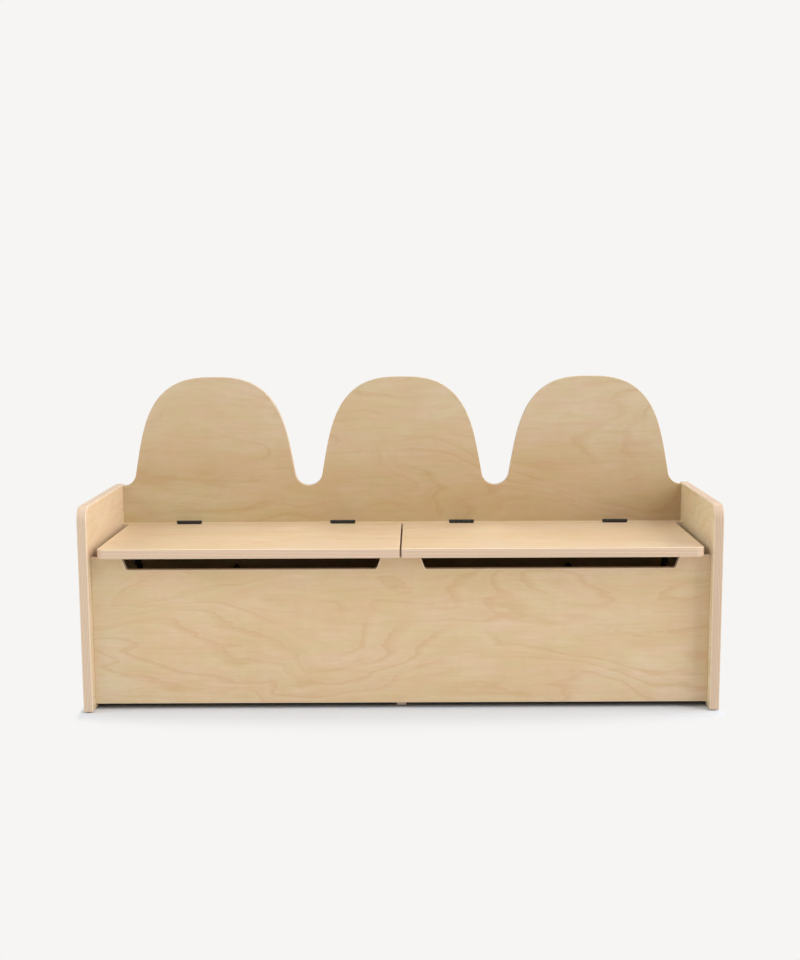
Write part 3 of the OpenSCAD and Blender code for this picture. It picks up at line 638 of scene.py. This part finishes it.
rear_cams = [(s * (INNER_X - CAM_IN), BACK_Y + MM, z) for s in (-1, 1) for z in BACKREST_CAM_Z]
rail_heads = [(n * RAIL_SCREW_PITCH, BACK_Y, RAIL_SCREW_Z) for n in range(-2, 3)]
wall_holes = [(s * WALL_X, BACK_Y + MM, WALL_Z) for s in (-1, 1)]
cam_profile = ((0.0, CAM_R), (CAM_DEEP + MM, CAM_R))
head_profile = ((-MM, RAIL_SCREW_HEAD_R + MM),
                (RAIL_SCREW_HEAD_R - RAIL_SCREW_SHANK_R, RAIL_SCREW_SHANK_R),
                (PLY + MM, RAIL_SCREW_SHANK_R))
wall_profile = ((0.0, WALL_HOLE_R), (PLY + 2 * MM, WALL_HOLE_R))
INWARD = (0, -1, 0)    # from the back face of the bench towards its front
backrest = board("backrest_board", backrest_outline(), lambda u, v, w: (u, w, v), BACK_FACE_Y, BACK_Y,
                 cutters=(cutter(rear_cams, cam_profile, INWARD),
                          cutter(rail_heads, head_profile, INWARD),
                          cutter(wall_holes, wall_profile, INWARD)))
replace(backrest, "backrest_panel", "bench_frame",
        plywood("backrest_birch", 21.0, X, Z, Y, (BACK_FACE_Y + BACK_Y) / 2, "backrest"))

panel_cams = [(s * (INNER_X - CAM_IN), PANEL_BACK_Y + MM, z) for s in (-1, 1) for z in PANEL_CAM_Z]
front = board("front_board", front_outline(), lambda u, v, w: (u, w, v), PANEL_Y, PANEL_BACK_Y,
              cutters=(cutter(panel_cams, cam_profile, INWARD),))
replace(front, "front_panel", "bench_frame",
        plywood("front_birch", 33.0, X, Z, Y, (PANEL_Y + PANEL_BACK_Y) / 2, "front"))


# ---------------------------------------------------------------- CAD nodes that keep their shape
def dress(node, material):
    """Gives a CAD node one material and leaves its mesh alone."""
    obj = nodes[node]
    if not obj.material_slots:
        obj.data.materials.append(material)
    for slot in obj.material_slots:
        slot.material = material


def middle(node, axis):
    """The middle of a CAD node's box along one axis."""
    low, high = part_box(node)
    return (low[axis] + high[axis]) / 2


dress("hinge_rail", plywood("rail_birch", 41.0, X, Y, Z, middle("hinge_rail", Z)))
dress("centre_divider", plywood("divider_birch", 47.0, Y, Z, X, middle("centre_divider", X)))
dress("left_base_board", plywood("left_base_birch", 52.0, X, Y, Z, middle("left_base_board", Z)))
dress("right_base_board", plywood("right_base_birch", 57.0, X, Y, Z, middle("right_base_board", Z)))

BLACK = (0.022, 0.022, 0.021, 1.0)
hinge_black = painted_steel("hinge_black", (0.030, 0.029, 0.027, 1.0), 0.40)
plate_black = painted_steel("plate_black", BLACK, 0.48)
tube_black = painted_steel("stay_tube_black", (0.030, 0.029, 0.028, 1.0), 0.24, 500.0)
screw_black = painted_steel("screw_black", (0.030, 0.030, 0.030, 1.0), 0.42, 1400.0)
rod_steel = bare_metal("stay_rod_bright", (0.66, 0.66, 0.67, 1.0), 0.16, (40.0, 900.0, 30.0))
zinc_plate = bare_metal("zinc_plated_steel", (0.50, 0.49, 0.47, 1.0), 0.40, (200.0, 200.0, 200.0))
zinc = bare_metal("zinc_casting", (0.52, 0.52, 0.53, 1.0), 0.42, (300.0, 300.0, 300.0))
bright = bare_metal("screw_bright", (0.60, 0.60, 0.58, 1.0), 0.28, (700.0, 300.0, 700.0))
ball_plastic = moulded("stay_end_plastic", (0.035, 0.033, 0.030, 1.0), 0.46, 1500.0)
pad_rubber = moulded("bumper_rubber", (0.018, 0.018, 0.018, 1.0), 0.72, 2200.0)
glide_plastic = moulded("glide_plastic", (0.024, 0.024, 0.024, 1.0), 0.55, 1300.0)
beech = dowel_wood("beech_dowel")

for name in nodes:
    if "hinge" in name and "screws" not in name and name != "hinge_rail":
        dress(name, hinge_black)
    elif "screws" in name and name != "rail_screws":
        dress(name, screw_black)
    elif name.endswith("wall_plate"):
        dress(name, plate_black)
    elif "bracket" in name:
        dress(name, zinc_plate)
    elif name.endswith("stay_tube"):
        dress(name, tube_black)
    elif name.endswith("stay_rod"):
        dress(name, rod_steel)
    elif name.endswith("ball_end"):
        dress(name, ball_plastic)
    elif name.endswith("bumpers"):
        dress(name, pad_rubber)
dress("floor_glides", glide_plastic)
dress("dowels", beech)
dress("cam_fittings", zinc)
dress("cam_bolts", bright)
dress("rail_screws", bright)

# ---------------------------------------------------------------- floor, light and camera
PALE = srgb(246, 245, 243)
# bluish, so that the warm light that the boards throw onto the floor near them reads grey
FLOOR_ALBEDO = (0.739, 0.777, 0.832, 1.0)
# a shadow painted on the floor under the bench, darker than the paper
FLOOR_PAINTED_SHADOW = (0.46, 0.44, 0.42, 1.0)
PAINTED_SHADOW_Y = (0.125, 0.160)    # the floor turns from its painted shadow under the bench to its pale tone between these, in Y
FLOOR_HALF = 30.0
SHADE_HALF = 0.64               # half the width of the shaded floor in front of the bench and behind it
SHADE_DEEP = 0.165              # how far that shade reaches in its middle
SHADE_LEAST = 0.012             # and at its ends
SHADE_SIDE = 1 / 80             # how far the shade reaches past the side panels
SHADE_START = 0.12              # the share of the reach at which the floor starts to glow
SKY_LIGHT = 0.414               # how much of the background's brightness lights the bench

bm = bmesh.new()
bmesh.ops.create_grid(bm, x_segments=2, y_segments=2, size=FLOOR_HALF)
floor_mesh = bpy.data.meshes.new("floor")
bm.to_mesh(floor_mesh)
bm.free()
floor = bpy.data.objects.new("floor", floor_mesh)
bpy.context.scene.collection.objects.link(floor)
t = Nodes("floor_paper")
place = t.split(t.coords("Object"))
beside = t.calc("MAXIMUM", t.sub(t.calc("ABSOLUTE", place[X]), INNER_X + PLY), 0.0)
beside = t.calc("DIVIDE", beside, SHADE_SIDE)
before = t.calc("MAXIMUM", t.sub(t.calc("ABSOLUTE", place[Y]), BACK_Y), 0.0)
across = t.calc("DIVIDE", place[X], SHADE_HALF)
bulge = t.calc("SQRT", t.calc("MAXIMUM", t.sub(1.0, t.mul(across, across)), 0.0))
before = t.calc("DIVIDE", before, t.add(t.mul(bulge, SHADE_DEEP), SHADE_LEAST))
reach = t.calc("SQRT", t.add(t.mul(beside, beside), t.mul(before, before)))
# painted shadow: the floor under the bench is dark up to these Y
under = t.smooth(t.calc("ABSOLUTE", place[Y]), *PAINTED_SHADOW_Y)
paper_and_shadow = t.mix(under, FLOOR_PAINTED_SHADOW, FLOOR_ALBEDO)
t.shader(Base_Color=paper_and_shadow, Roughness=0.9, Specular_IOR_Level=0.1)
glow = t.tree.nodes.new("ShaderNodeEmission")
glow.inputs["Color"].default_value = PALE
blend = t.tree.nodes.new("ShaderNodeMixShader")
t.put(blend.inputs[0], t.smooth(reach, SHADE_START, 1.0))
t.put(blend.inputs[1], t.bsdf.outputs[0])
t.put(blend.inputs[2], glow.outputs[0])
t.put(t.out.inputs["Surface"], blend.outputs[0])
floor.data.materials.append(t.mat)

world = bpy.data.worlds.new("studio")
bpy.context.scene.world = world
world.use_nodes = True
sky = world.node_tree
background = sky.nodes["Background"]
background.inputs["Color"].default_value = PALE
seen = sky.nodes.new("ShaderNodeLightPath").outputs["Is Camera Ray"]
strength = sky.nodes.new("ShaderNodeMapRange")
strength.inputs["To Min"].default_value = SKY_LIGHT
strength.inputs["To Max"].default_value = 1.0
sky.links.new(seen, strength.inputs["Value"])
sky.links.new(strength.outputs["Result"], background.inputs["Strength"])


AIM = Vector((0.0, 0.0, 0.3))


def around(azimuth, elevation, distance):
    """A place on a sphere about the bench: azimuth 0 is in front of it, 90 is on its right."""
    az, el = math.radians(azimuth), math.radians(elevation)
    return AIM + distance * Vector((math.cos(el) * math.sin(az), -math.cos(el) * math.cos(az), math.sin(el)))


def softbox(name, at, width, height, power):
    """A white soft box that faces the bench."""
    data = bpy.data.lights.new(name, "AREA")
    data.shape = "RECTANGLE"
    data.size = width
    data.size_y = height
    data.energy = power
    obj = bpy.data.objects.new(name, data)
    obj.location = at
    obj.rotation_euler = (AIM - at).to_track_quat("-Z", "Y").to_euler()
    bpy.context.scene.collection.objects.link(obj)


NEAR, FAR = 7.0, 12.0
softbox("key", around(58, 32, FAR), width=5.8, height=11.0, power=735.0)
softbox("right", around(88, 27, NEAR), width=3.4, height=4.6, power=173.0)
softbox("left", around(-80, 29, NEAR), width=3.4, height=3.4, power=134.0)
softbox("left_front", around(-48, 25, NEAR), width=3.4, height=3.4, power=40.0)
softbox("top", around(0, 88, NEAR), width=5.0, height=5.0, power=70.0)
softbox("back", around(170, 50, NEAR), width=3.4, height=3.4, power=107.0)
softbox("back_right", around(120, 35, NEAR), width=3.4, height=3.4, power=76.0)

CAMERA_AT = (0.03157, -3.0568, 0.75806)
CAMERA_LENS = 58.5
CAMERA_SHIFT = (-0.01824, 0.08219)
PITCH = math.radians(9.237)    # down from level
ROLL = math.radians(-0.238)

camera_data = bpy.data.cameras.new("camera")
camera_data.sensor_fit = "AUTO"
camera_data.sensor_width = 36.0
camera_data.lens = CAMERA_LENS
camera_data.shift_x, camera_data.shift_y = CAMERA_SHIFT
camera_data.clip_start = 0.05
camera_data.clip_end = 200.0
camera = bpy.data.objects.new("camera", camera_data)
camera.matrix_world = (Matrix.Translation(CAMERA_AT)
                       @ Matrix.Rotation(math.pi / 2 - PITCH, 4, "X") @ Matrix.Rotation(ROLL, 4, "Z"))
bpy.context.scene.collection.objects.link(camera)
bpy.context.scene.camera = camera
bpy.context.scene.view_settings.view_transform = "Standard"
